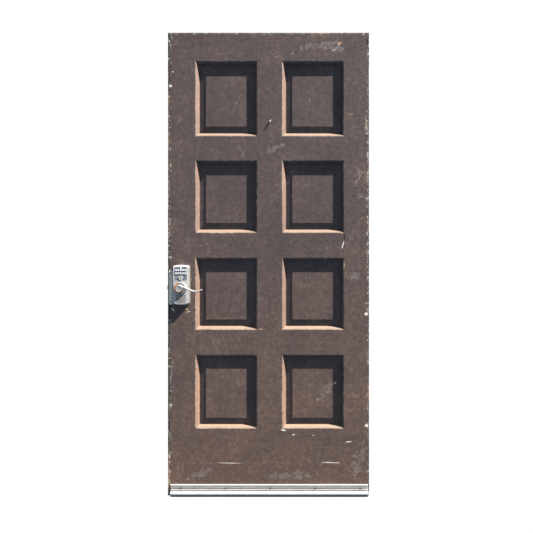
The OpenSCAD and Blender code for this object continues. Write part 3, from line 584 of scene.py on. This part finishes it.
def screw_line(graph, size):
    """Screws in a row, each turned the same way."""
    screw = graph.add("GeometryNodeObjectInfo", {}, {"Object": size["Screw"]}, out="Geometry")
    row = graph.add("GeometryNodeMeshLine", {}, {"Count": size["Count"], "Start Location": size["First"],
                    "Offset": size["Step"]})
    return graph.add("GeometryNodeInstanceOnPoints", {}, {"Points": row, "Instance": screw,
                     "Rotation": size["Turn"]})


def screws(node, finish, count, row, into):
    """Screws in place of a CAD node's: row is the axis they stand along, into the axis of their shanks."""
    low, high = (Vector(v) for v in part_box(node))
    flat = 3 - row - into
    radius = (high[flat] - low[flat]) / 2
    first = low + Vector((radius,) * 3)
    first[into] = low[into]
    step = Vector((0, 0, 0))
    step[row] = (high[row] - low[row] - 2 * radius) / (count - 1)
    pattern = cross_screw(radius, high[into] - low[into] - 1.36 * radius)
    turn = (0.0, 0.0, 0.0) if into == 1 else (0.0, 0.0, -math.pi / 2)
    piece = grown(f"{node}_finished", screw_line, {"Screw": pattern, "Count": count, "First": tuple(first),
                  "Step": tuple(step), "Turn": turn}, finish)
    bpy.data.objects.remove(pattern)
    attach(piece, "leaf")
    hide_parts(node)


dark_steel = metal("rusty_screw_steel", (0.055, 0.048, 0.044), (0.085, 0.045, 0.028), 0.5, 0.55, 0.5)
screws("sweep_screws", dark_steel, 5, 0, 1)
screws("edge_strip_screws", dark_steel, 2, 2, 1)

# ---- Edge strip ---------------------------------------------------------------------------------
# A narrow brass guard with a rib down its middle covers the lock side of the outside face where
# the old lock was. Its lacquer has gone and it has dulled to a greenish cream. Its colour is set
# paler still, near white, as painted light where the lock's shadow falls on it.
aged_brass_with_painted_light = metal("aged_brass_strip", (0.90, 0.82, 0.60), (0.84, 0.80, 0.66), 0.6, 0.5, 0.1,
                   (0.0015, 0.003, 0.05), 0.0003, (0.20, 0.14, 0.08), 0.4)
eased_copy("edge_strip", "leaf", aged_brass_with_painted_light, 0.0003)

# ---- Lock plates --------------------------------------------------------------------------------
# Each side of the lock has a cast zinc housing, nickel plated and satin brushed, with arched ends,
# sides that lean in and a rounded shoulder. It is hollow, and let in for its panels.
lock_at = (Vector(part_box("outside_rose")[0]) + Vector(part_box("outside_rose")[1])) / 2
mm = 0.001


def at_lock(side, a, b, c):
    """The point a across, b up and c out from the leaf, in mm; side is -1 outside and 1 inside."""
    return Vector((lock_at.x + a * mm, side * (back_y + c * mm), lock_at.z + b * mm))


def plate_outline(half, up, down, arch, corner=6.0):
    """Points round an arched plate with rounded corners."""
    points = []
    for sign, end in ((1, up), (-1, down)):
        def edge(a):
            return sign * (end - arch * (a / half) ** 2)
        flat = half - corner
        arc = [(flat - flat * 2 * i / 16, edge(flat - flat * 2 * i / 16)) for i in range(17)]
        side_b = sign * (end - arch - corner)
        near = []
        for i in range(6):
            t = i / 6
            a = (1 - t) ** 2 * half + 2 * t * (1 - t) * half + t * t * (half - corner)
            b = (1 - t) ** 2 * side_b + 2 * t * (1 - t) * sign * (end - arch) + t * t * arc[0][1]
            near.append((a, b))
        row = near + arc + [(-a, b) for a, b in reversed(near)]
        points += row if sign > 0 else list(reversed(row))
    return points


def closed_solid(name, rings):
    """A solid through rings of equal length, closed at both ends."""
    work = bmesh.new()
    rows = [[work.verts.new(point) for point in ring] for ring in rings]
    for lower, upper in zip(rows, rows[1:]):
        for i in range(len(lower)):
            j = (i + 1) % len(lower)
            work.faces.new((lower[i], lower[j], upper[j], upper[i]))
    work.faces.new(rows[0])
    work.faces.new(rows[-1])
    bmesh.ops.recalc_face_normals(work, faces=work.faces)
    mesh = bpy.data.meshes.new(name)
    work.to_mesh(mesh)
    work.free()
    solid = bpy.data.objects.new(name, mesh)
    scene.collection.objects.link(solid)
    return solid


def plate_solid(name, side, layers, arch=5.0):
    """Arched layers stacked outwards: each is its height and its half width, top and bottom."""
    return closed_solid(name, [[at_lock(side, a, b, c) for a, b in plate_outline(half, up, down, arch)]
                               for c, half, up, down in layers])


def round_solid(name, side, a, b, layers, turns=40):
    """Rings about a point of the plate: each is its height and radius."""
    return closed_solid(name, [[at_lock(side, a + r * math.cos(2 * math.pi * i / turns),
                                        b + r * math.sin(2 * math.pi * i / turns), c)
                                for i in range(turns)] for c, r in layers])


def block(name, side, low, high, corner=1.2):
    """A block with rounded upright corners, from low to high."""
    left, right = low[0] + corner, high[0] - corner
    under, over = low[1] + corner, high[1] - corner
    rings = []
    for c in (low[2], high[2]):
        ring = []
        for ca, cb, start in ((right, over, 0), (left, over, 90), (left, under, 180), (right, under, 270)):
            for i in range(4):
                turn = math.radians(start + 30 * i)
                ring.append(at_lock(side, ca + corner * math.cos(turn), cb + corner * math.sin(turn), c))
        rings.append(ring)
    return closed_solid(name, rings)


def bore(name, side, b, radius, turns=40):
    """A round cutter right through a plate, b up from the lever's axis."""
    return round_solid(name, side, 0, b, [(-2, radius), (40, radius)], turns)


def carve(piece, cutters):
    for cutter in cutters:
        cut = piece.modifiers.new(cutter.name, "BOOLEAN")
        cut.operation, cut.solver, cut.object = "DIFFERENCE", "EXACT", cutter


def hand_in(piece, body, slot, finish, *nodes, smooth=28, cutters=()):
    """Finishes a piece that stands for CAD nodes."""
    piece.data.materials.append(finish)
    settle(piece, smooth)
    for cutter in cutters:
        bpy.data.objects.remove(cutter)
    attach(piece, body)
    if nodes:
        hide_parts(*nodes)


def plate_layers(thick):
    """From the leaf out: upright, then leaning in, then round the shoulder."""
    half, up, down, lean, shoulder = 39.0, 104.5, 77.5, 4.5, 1.6
    layers = [(0, half, up, down), (3.0, half, up, down)]
    for i in range(5):
        turn = math.radians(22.5 * i)
        inset = lean * 0.8 + shoulder * (1 - math.cos(turn))
        layers.append((thick - shoulder * (1 - math.sin(turn)), half - inset, up - inset, down - inset))
    return layers


def hollow_layers(bottom, top):
    """The room inside a housing, between two heights."""
    half, up, down = 31.0, 96.5, 69.5
    return [(bottom, half, up, down), (top, half, up, down)]


# The last argument darkens the housing's walls that face the hinge side: painted shade
satin = metal("satin_nickel_plate", (0.50, 0.51, 0.52), (0.50, 0.48, 0.44), 0.35, 0.42, 0.25,
              (0.003, 0.003, 0.05), 0.0001, (0.34, 0.22, 0.12), 0.45, 0.72)
outside_front, inside_front = 17.0, 22.0
spindle_bore_r = 8.3
# Where the keypad's panel, the lower panel and the cylinder go
pad_half, pad_bottom, pad_top = 27.5, 35.0, 96.5
low_half, low_bottom, low_top = 22.0, -68.0, -30.5
recess_floor, cylinder_up, cylinder_bore_r = 15.0, 47, 8.2
housing = plate_solid("outside_housing_finished", -1, plate_layers(outside_front))
cutters = [plate_solid("hollow", -1, hollow_layers(-1.0, 13.0)),
           block("pad_recess", -1, (-pad_half, pad_bottom, recess_floor), (pad_half, pad_top, 30)),
           block("low_recess", -1, (-low_half, low_bottom, recess_floor), (low_half, low_top, 30)),
           block("key_pocket", -1, (-25.6, 62.0, 5.0), (25.6, 95.4, 30)),
           bore("cylinder_cut", -1, cylinder_up, cylinder_bore_r),
           bore("spindle_cut", -1, 0, spindle_bore_r)]
carve(housing, cutters)
hand_in(housing, "leaf", "satin_nickel", satin, "outside_housing", cutters=cutters)

# The inside housing is cut down to a thin base above the thumb turn, where the cover slides
inside = plate_solid("inside_housing_finished", 1, plate_layers(inside_front))
base_top, bolt_up = 3.0, 17.0
cutters = [plate_solid("inside_hollow", 1, hollow_layers(base_top, 19.0)),
           block("cover_bay", 1, (-60, 60.0, base_top), (60, 130, 40)),
           bore("inside_spindle_cut", 1, 0, spindle_bore_r),
           bore("turn_cut", 1, cylinder_up, 4.3)]
cutters += [round_solid(f"bolt_cut_{i}", 1, 0, b, [(-2, 2.8), (base_top, 2.8), (base_top + 0.01, 4.6), (40, 4.6)])
            for i, b in enumerate((-bolt_up, bolt_up))]
carve(inside, cutters)
hand_in(inside, "leaf", "satin_nickel", satin, "inside_housing", cutters=cutters)

# The battery cover is the upper end of the same form, with a row of grip ridges
cover = plate_solid("battery_cover_finished", 1, plate_layers(inside_front))
cutters = [block("below_cover", 1, (-60, -130, -5), (60, 60.3, 40)),
           block("behind_cover", 1, (-60, -130, -5), (60, 130, 3.3)),
           block("battery_room", 1, (-25.25, 50, 0), (25.25, 89.0, 19.3))]
cutters += [block(f"grip_{i}", 1, (-9, 92.2 + 2.4 * i, inside_front - 0.4), (9, 93.4 + 2.4 * i, 30), 0.5)
            for i in range(2)]
carve(cover, cutters)
hand_in(cover, "cover", "satin_nickel", satin, "battery_cover", cutters=cutters)
dark_case = metal("dark_battery_case", (0.035, 0.042, 0.050), (0.05, 0.05, 0.05), 0.3, 0.5, 0.0)
eased_copy("battery", "leaf", dark_case, 0.0008, 30, 3)

# ---- Keypad -------------------------------------------------------------------------------------
# A blue-grey panel is let into the housing's upper half. Ten pale square keys and a round button
# stand through it, each on a foot above the circuit board. A grey panel fills the lower end.
blue_grey = metal("blue_grey_panel", (0.130, 0.175, 0.200), (0.21, 0.23, 0.24), 0.25, 0.45, 0.10,
                  (0.002, 0.003, 0.04), 0.0001, (0.55, 0.54, 0.50), 0.35)
panel_gap, panel_front = 0.1, 16.8
key_across, key_rise, key_low, key_hole_half = 10.4, 14, 67, 3.9
pad = block("keypad_panel_finished", -1, (-pad_half + panel_gap, pad_bottom + panel_gap, recess_floor),
            (pad_half - panel_gap, pad_top - panel_gap, panel_front))
pad_cutters = [bore("pad_button_cut", -1, 90.5, 4.3, 24), bore("pad_cylinder_cut", -1, cylinder_up, cylinder_bore_r)]
for row in (0, 1):
    for col in range(-2, 3):
        a, b = key_across * col, key_low + key_rise * row
        pad_cutters.append(block(f"pad_key_cut_{row}{col}", -1, (a - key_hole_half, b - key_hole_half, 0),
                                 (a + key_hole_half, b + key_hole_half, 40), 0.8))
carve(pad, pad_cutters)
hand_in(pad, "leaf", "keypad_face", blue_grey, "keypad_panel", cutters=pad_cutters)

low_grey = metal("grey_lower_panel", (0.22, 0.225, 0.22), (0.30, 0.28, 0.24), 0.5, 0.5, 0.3,
                 (0.003, 0.003, 0.03), 0.0001, (0.16, 0.10, 0.06), 0.4)
low_panel = block("lower_panel_finished", -1, (-low_half + panel_gap, low_bottom + panel_gap, recess_floor),
                  (low_half - panel_gap, low_top - panel_gap, panel_front))
hand_in(low_panel, "leaf", "satin_nickel_grey", low_grey, "lower_panel")

caps = Finish("pale_key_caps")
# On the key caps this noise is random grime only
grime_and_painted_shade = caps.noise(caps.place, 500.0, 4.0, 0.65)
cap_tone = caps.blend((0.86, 0.88, 0.88), (0.50, 0.50, 0.47), ((grime_and_painted_shade - 0.5) * 5).cut())
cap_pale = caps.done(cap_tone, 0.35, height=grime_and_painted_shade, depth=0.00005)
ink = Finish("dark_key_figures")
faded_ink = ink.noise(ink.place, 900.0, 3.0, 0.6)
ink_dark = ink.done(ink.blend((0.05, 0.06, 0.07), (0.20, 0.21, 0.22), faded_ink), 0.5)


def figure(digit, body, a, b, c):
    """A printed digit on a key, as thin raised ink."""
    curve = bpy.data.curves.new(f"figure_{digit}", "FONT")
    curve.body, curve.size, curve.align_x, curve.align_y = digit, 4.6 * mm, "CENTER", "CENTER"
    curve.extrude, curve.resolution_u = 0.03 * mm, 3
    letter = bpy.data.objects.new(f"key_{digit}_figure", curve)
    scene.collection.objects.link(letter)
    mesh = bpy.data.meshes.new_from_object(letter.evaluated_get(bpy.context.evaluated_depsgraph_get()))
    bpy.data.objects.remove(letter)
    place = Matrix.Translation(at_lock(-1, a, b, c)) @ Matrix.Rotation(math.radians(90), 4, "X")
    mesh.transform(place)
    piece = bpy.data.objects.new(f"key_{digit}_figure", mesh)
    scene.collection.objects.link(piece)
    mesh.materials.append(ink_dark)
    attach(piece, body)


# A cap's height and half width: its foot behind the panel, its sides, and its eased, dished top
cap_top, corner_r = 18.3, 1
cap_layers = ((8.8, 4.6), (12.7, 4.6), (12.71, 3.6), (17.7, 3.6), (18.15, 3.45), (cap_top, 3.1), (18.24, 2.4))
for i, digit in enumerate("1234567890"):
    a, b = key_across * (i % 5 - 2), key_low + (key_rise if i < 5 else 0)
    rings = []
    for c, half in cap_layers:
        ring = []
        inner = half - corner_r
        for quarter, (sa, sb) in enumerate(((1, 1), (-1, 1), (-1, -1), (1, -1))):
            for j in range(4):
                turn = math.radians(90 * quarter + 30 * j)
                ring.append(at_lock(-1, a + sa * inner + corner_r * math.cos(turn),
                                    b + sb * inner + corner_r * math.sin(turn), c))
        rings.append(ring)
    cap = closed_solid(f"key_{digit}_cap", rings)
    hand_in(cap, f"key_{digit}_body", "key_caps", cap_pale, f"key_{digit}")
    figure(digit, f"key_{digit}_body", a, b, cap_top)
eased_copy("call_button", "call_button_body", cap_pale, 0.0004, 30, 3)

green = Finish("green_circuit_board")
tracks = green.add("ShaderNodeTexBrick", {"offset": 0.3}, {
    "Vector": green.place, "Scale": 160.0, "Mortar Size": 0.04, "Color1": (0.02, 0.12, 0.05, 1),
    "Color2": (0.015, 0.09, 0.04, 1), "Mortar": (0.10, 0.20, 0.09, 1)})
dress("circuit_board", green.done(tracks, 0.4 + green.noise(green.place, 300.0) * 0.2))

# ---- Key cylinder -------------------------------------------------------------------------------
# A flanged nickel-silver cylinder stands through the panel; its brass plug turns with the key.
bright = metal("bright_cylinder", (0.80, 0.79, 0.75), (0.62, 0.58, 0.48), 0.2, 0.3, 0.5)
plug_brass = metal("worn_plug_brass", (0.70, 0.62, 0.42), (0.40, 0.33, 0.20), 0.5, 0.35, 0.6)
dress("cylinder_body", bright)
dress("cylinder_plug", plug_brass)


# ---- Roses, levers and spindles -----------------------------------------------------------------
# Each lever is cast in one with its hub and neck, plated, and polished bright by hands. The rose
# behind it turns orange towards its lock side and tan towards its bottom.
rose = Finish("worn_through_rose")
rose_r = 0.029
across = (rose.x - lock_at.x) * (1 / rose_r)
upward = (rose.z - lock_at.z) * (1 / rose_r)
smear = rose.noise(rose.place, 90.0, 5.0, 0.65)
fine = rose.noise(rose.place, 600.0, 3.0, 0.6)
# Orange towards the lock side, tan towards the bottom, flecked pale
through = (((smear - 0.5) * 1.6 - across * 1.2 - 0.35) * 3).cut()
under = (((smear - 0.5) * 1.6 - upward * 1.1 - 0.30) * 3).cut()
tint = rose.blend((0.20, 0.205, 0.21), (0.34, 0.28, 0.20), under)
tint = rose.blend(tint, (0.62, 0.22, 0.05), through)
tint = rose.blend(tint, (0.62, 0.58, 0.50), ((fine - 0.6) * 10).cut() * 0.6)
rose_orange_tan_finish = rose.done(tint, 0.50 + smear * 0.15, 0.45, smear * 0.6 + fine * 0.4, 0.0002)
dress("outside_rose", rose_orange_tan_finish)
dress("inside_rose", metal("dull_inside_rose", (0.40, 0.41, 0.42), (0.45, 0.42, 0.37), 0.4, 0.45, 0.5))

lever_bright = metal("hand_polished_lever", (0.52, 0.52, 0.52), (0.44, 0.41, 0.36), 0.25, 0.36, 0.55,
                     (0.05, 0.003, 0.003), 0.0001, (0.40, 0.34, 0.26), 0.4)
# The last argument darkens the hub's side that faces the hinge side: painted shade
hub_grey = metal("brushed_hub", (0.33, 0.33, 0.33), (0.38, 0.35, 0.29), 0.3, 0.48, 0.4,
                 (0.003, 0.003, 0.003), 0.0002, (0.60, 0.55, 0.44), 0.35, 0.75)


def wave(graph, size):
    """An arm swept along a falling and rising wave, thinner towards its round tip."""
    count, reach = size["Count"], size["Reach"]
    line = graph.add("GeometryNodeMeshLine", {}, {"Count": count, "Offset": (0.0, 0.0, 0.0)})
    step = graph.add("GeometryNodeInputIndex") / (count - 1)
    half_wave = 70 * mm
    fall = (step * reach * (math.pi / half_wave)).math("COSINE")
    tall = size["Middle"] + size["Swing"] * fall
    along = graph.add("ShaderNodeCombineXYZ", {}, (step * reach, 0.0, tall))
    path = graph.add("ShaderNodeVectorMath", {"operation": "ADD"}, (along, size["Root"]))
    line = graph.add("GeometryNodeSetPosition", {}, {"Geometry": line, "Position": path})
    curve = graph.add("GeometryNodeMeshToCurve", {}, {"Mesh": line})
    curve = graph.add("GeometryNodeSetCurveNormal", {"mode": "Z_UP"}, {"Curve": curve})
    end = (((1 - step) * reach / size["Tip Length"]).low(1.0))
    round_off = (end * (2 - end)) ** 0.5
    taper = (size["Root Size"] + (size["Tip Size"] - size["Root Size"]) * step) * round_off
    ring = graph.add("GeometryNodeCurvePrimitiveCircle", {}, {"Resolution": 20, "Radius": 1.0})
    ring = graph.add("GeometryNodeTransform", {}, {"Geometry": ring, "Scale": size["Section"]})
    return graph.add("GeometryNodeCurveToMesh", {}, {"Curve": curve, "Profile Curve": ring,
                     "Scale": taper.high(0.0004), "Fill Caps": True})


def lever(side, name, body, plate_front):
    """Hub, neck and arm of a lever; plate_front is how far its plate stands out."""
    neck_r, neck_end, hub_r, socket_r = 12.0, plate_front + 7.3, 16.5, 8.05
    hub_top = plate_front + 33.0
    layers = [(plate_front + 0.3, neck_r), (neck_end, neck_r), (neck_end + 0.01, 15.2),
              (plate_front + 9.0, hub_r), (hub_top - 3.0, hub_r), (hub_top - 1.2, 16.0),
              (hub_top - 0.4, 15.0), (hub_top, 13.4), (hub_top - 0.35, 12.6), (hub_top - 0.35, 4.0)]
    hub = round_solid(f"{name}_hub", side, 0, 0, layers, 64)
    socket = round_solid(f"{name}_bore", side, 0, 0, [(plate_front - 2, socket_r), (plate_front + 20, socket_r)])
    carve(hub, [socket])
    hand_in(hub, body, "lever_nickel", hub_grey, name, smooth=35, cutters=[socket])
    arm = grown(f"{name}_arm", wave, {
        "Count": 60, "Reach": 101.9 * mm, "Root": tuple(at_lock(side, 3.0, 0, hub_top - 6.2)),
        "Middle": -1.75 * mm, "Swing": 10.75 * mm, "Root Size": 4.9 * mm, "Tip Size": 2.2 * mm,
        "Tip Length": 7.0 * mm, "Section": (1.0, 1.18, 1.0)}, lever_bright)
    arm.data.set_sharp_from_angle(angle=math.radians(50))
    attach(arm, body)


lever(-1, "outside_lever", "outside_handle", outside_front)
lever(1, "inside_lever", "inside_handle", inside_front)
spindle_steel = metal("plain_spindle_steel", (0.36, 0.36, 0.36), (0.28, 0.26, 0.24), 0.4, 0.4, 0.8)
for node in ("outside_spindle", "inside_spindle"):
    dress(node, spindle_steel)
eased_copy("thumb_turn", "turn", lever_bright, 0.0011, 30, 4)

# ---- Chassis, latch and through bolts -----------------------------------------------------------
# Pressed and turned steel inside the cross bore, with a brass bolt and plunger that stand out of
# the lock edge through a brass faceplate, screwed into the stile.
chassis = metal("zinc_plated_chassis", (0.42, 0.43, 0.43), (0.34, 0.31, 0.26), 0.4, 0.42, 0.8)
for node in ("lock_chassis", "latch_tube", "through_bolts"):
    dress(node, chassis)
latch_brass = metal("worn_latch_brass", (0.60, 0.46, 0.24), (0.34, 0.26, 0.15), 0.4, 0.38, 0.75)
eased_copy("latch_bolt", "latch", latch_brass, 0.0005, 30)
eased_copy("deadlatch_plunger", "deadlatch", latch_brass, 0.0005, 30)
eased_copy("latch_faceplate", "leaf", latch_brass, 0.0004, 30)
screws("faceplate_screws", latch_brass, 2, 2, 0)
